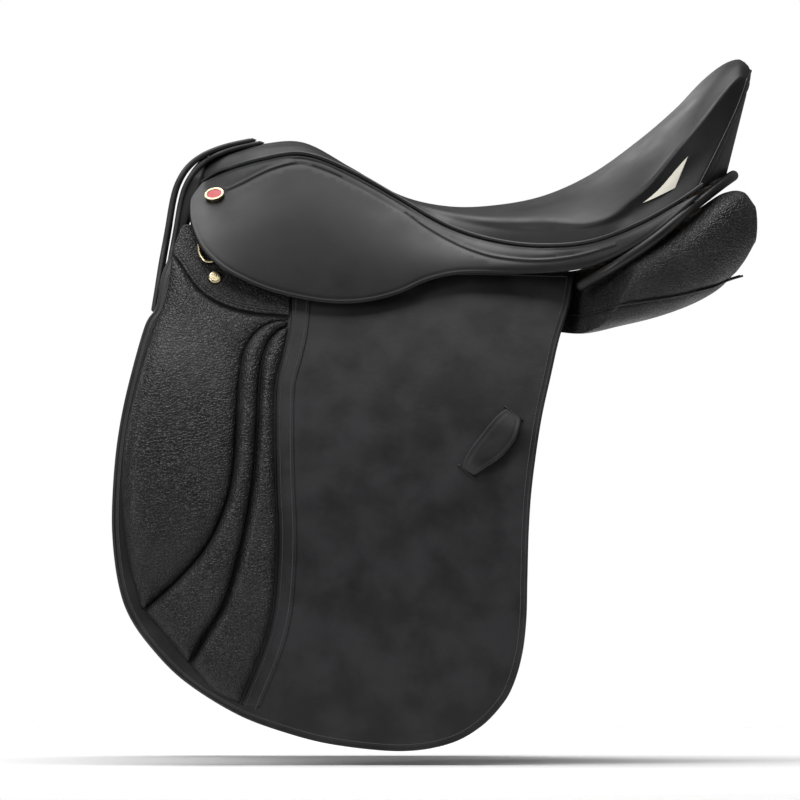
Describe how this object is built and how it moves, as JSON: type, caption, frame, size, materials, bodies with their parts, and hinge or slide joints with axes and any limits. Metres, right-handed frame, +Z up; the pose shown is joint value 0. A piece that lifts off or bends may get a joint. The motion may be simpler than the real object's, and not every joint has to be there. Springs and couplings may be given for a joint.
{
  "type": "english dressage saddle",
  "caption": "Black leather dressage saddle with a deep seat, long straight padded flaps, folding skirts, stirrup bars, dees and girth straps.",
  "frame": {"origin": "in the channel midway between the panels, at the height of the panels' lowest rear stretch", "axes": "+X to the cantle, -X to the pommel, +Y the horse's right side, +Z up"},
  "size_m": [0.525, 0.4364, 0.5615],
  "materials": {
    "smooth_leather": "satin black bridle leather",
    "grained_leather": "grained black calf",
    "seat_leather": "soft black seat leather with a satin sheen",
    "welt_leather": "smooth black leather over cord",
    "strap_leather": "plain black strap leather",
    "brass": "polished brass",
    "red_enamel": "glossy red enamel",
    "steel": "forged steel, brushed",
    "beech": "laminated beech, sealed",
    "webbing": "woven natural webbing",
    "foam": "dense pale seat foam"
  },
  "bodies": {
    "saddle": {"badge_enamels": "red_enamel", "badge_rims": "brass", "bar_rivets": "steel", "brass_studs": "brass", "cantle_back": "seat_leather", "cantle_board": "beech", "dee_clips": "brass", "front_girth_web": "webbing", "gullet_plate": "steel", "head_plate": "steel", "left_flap_top": "smooth_leather", "left_knee_pad_top": "grained_leather", "left_panel": "grained_leather", "left_point_cover": "grained_leather", "left_rear_gusset": "grained_leather", "left_seat_piping": "welt_leather", "left_skirt_top": "smooth_leather", "left_stirrup_bar": "steel", "left_sweat_flap": "smooth_leather", "panel_facing": "smooth_leather", "point_pockets": "strap_leather", "pommel_facing": "smooth_leather", "rear_girth_web": "webbing", "rear_welt": "welt_leather", "right_flap_top": "smooth_leather", "right_knee_pad_top": "grained_leather", "right_panel": "grained_leather", "right_point_cover": "grained_leather", "right_rear_gusset": "grained_leather", "right_seat_piping": "welt_leather", "right_skirt_top": "smooth_leather", "right_stirrup_bar": "steel", "right_sweat_flap": "smooth_leather", "seat_cover": "seat_leather", "seat_foam": "foam", "seat_web": "webbing", "spring_steels": "steel", "tree_head": "beech", "tree_rails": "beech"},
    "left_flap_body": {"left_flap": "smooth_leather", "left_knee_pad": "grained_leather", "left_middle_roll": "grained_leather", "left_rear_roll": "grained_leather", "left_flap_keeper": "smooth_leather"},
    "left_skirt_body": {"left_skirt": "smooth_leather"},
    "left_dee_body": {"left_dee_ring": "brass"},
    "left_catch_body": {"left_bar_catch": "steel"},
    "left_front_strap_body": {"left_front_girth_strap": "strap_leather"},
    "left_rear_strap_body": {"left_rear_girth_strap": "strap_leather"},
    "right_flap_body": {"right_flap": "smooth_leather", "right_knee_pad": "grained_leather", "right_middle_roll": "grained_leather", "right_rear_roll": "grained_leather", "right_flap_keeper": "smooth_leather"},
    "right_skirt_body": {"right_skirt": "smooth_leather"},
    "right_dee_body": {"right_dee_ring": "brass"},
    "right_catch_body": {"right_bar_catch": "steel"},
    "right_front_strap_body": {"right_front_girth_strap": "strap_leather"},
    "right_rear_strap_body": {"right_rear_girth_strap": "strap_leather"}
  },
  "joints": [
    {"name": "left_flap_lift", "type": "hinge", "parent": "saddle", "child": "left_flap_body", "pos_m": [0, -0.1276, 0.004], "axis": [-1, 0, 0], "range_deg": [0, 70]},
    {"name": "left_skirt_lift", "type": "hinge", "parent": "saddle", "child": "left_skirt_body", "pos_m": [-0.199, -0.095, 0.09], "axis": [-0.9653, 0.1393, 0.2209], "range_deg": [0, 60]},
    {"name": "left_dee_swing", "type": "hinge", "parent": "saddle", "child": "left_dee_body", "pos_m": [-0.184, -0.09489, 0.069], "axis": [-1, 0, 0], "range_deg": [0, 12]},
    {"name": "left_catch_close", "type": "hinge", "parent": "saddle", "child": "left_catch_body", "pos_m": [-0.0613, -0.10422, 0.0565], "axis": [0, -0.836, 0.5487], "range_deg": [0, 80]},
    {"name": "left_front_strap_swing", "type": "hinge", "parent": "saddle", "child": "left_front_strap_body", "pos_m": [-0.101, -0.09805, 0.036], "axis": [0, 1, 0], "range_deg": [-6, 6]},
    {"name": "left_rear_strap_swing", "type": "hinge", "parent": "saddle", "child": "left_rear_strap_body", "pos_m": [0.023, -0.09805, 0.036], "axis": [0, 1, 0], "range_deg": [-6, 6]},
    {"name": "right_flap_lift", "type": "hinge", "parent": "saddle", "child": "right_flap_body", "pos_m": [0, 0.1276, 0.004], "axis": [1, 0, 0], "range_deg": [0, 70]},
    {"name": "right_skirt_lift", "type": "hinge", "parent": "saddle", "child": "right_skirt_body", "pos_m": [-0.199, 0.095, 0.09], "axis": [0.9653, 0.1393, -0.2209], "range_deg": [0, 60]},
    {"name": "right_dee_swing", "type": "hinge", "parent": "saddle", "child": "right_dee_body", "pos_m": [-0.184, 0.09489, 0.069], "axis": [1, 0, 0], "range_deg": [0, 12]},
    {"name": "right_catch_close", "type": "hinge", "parent": "saddle", "child": "right_catch_body", "pos_m": [-0.0613, 0.10422, 0.0565], "axis": [0, -0.836, -0.5487], "range_deg": [0, 80]},
    {"name": "right_front_strap_swing", "type": "hinge", "parent": "saddle", "child": "right_front_strap_body", "pos_m": [-0.101, 0.09805, 0.036], "axis": [0, 1, 0], "range_deg": [-6, 6]},
    {"name": "right_rear_strap_swing", "type": "hinge", "parent": "saddle", "child": "right_rear_strap_body", "pos_m": [0.023, 0.09805, 0.036], "axis": [0, 1, 0], "range_deg": [-6, 6]}
  ]
}
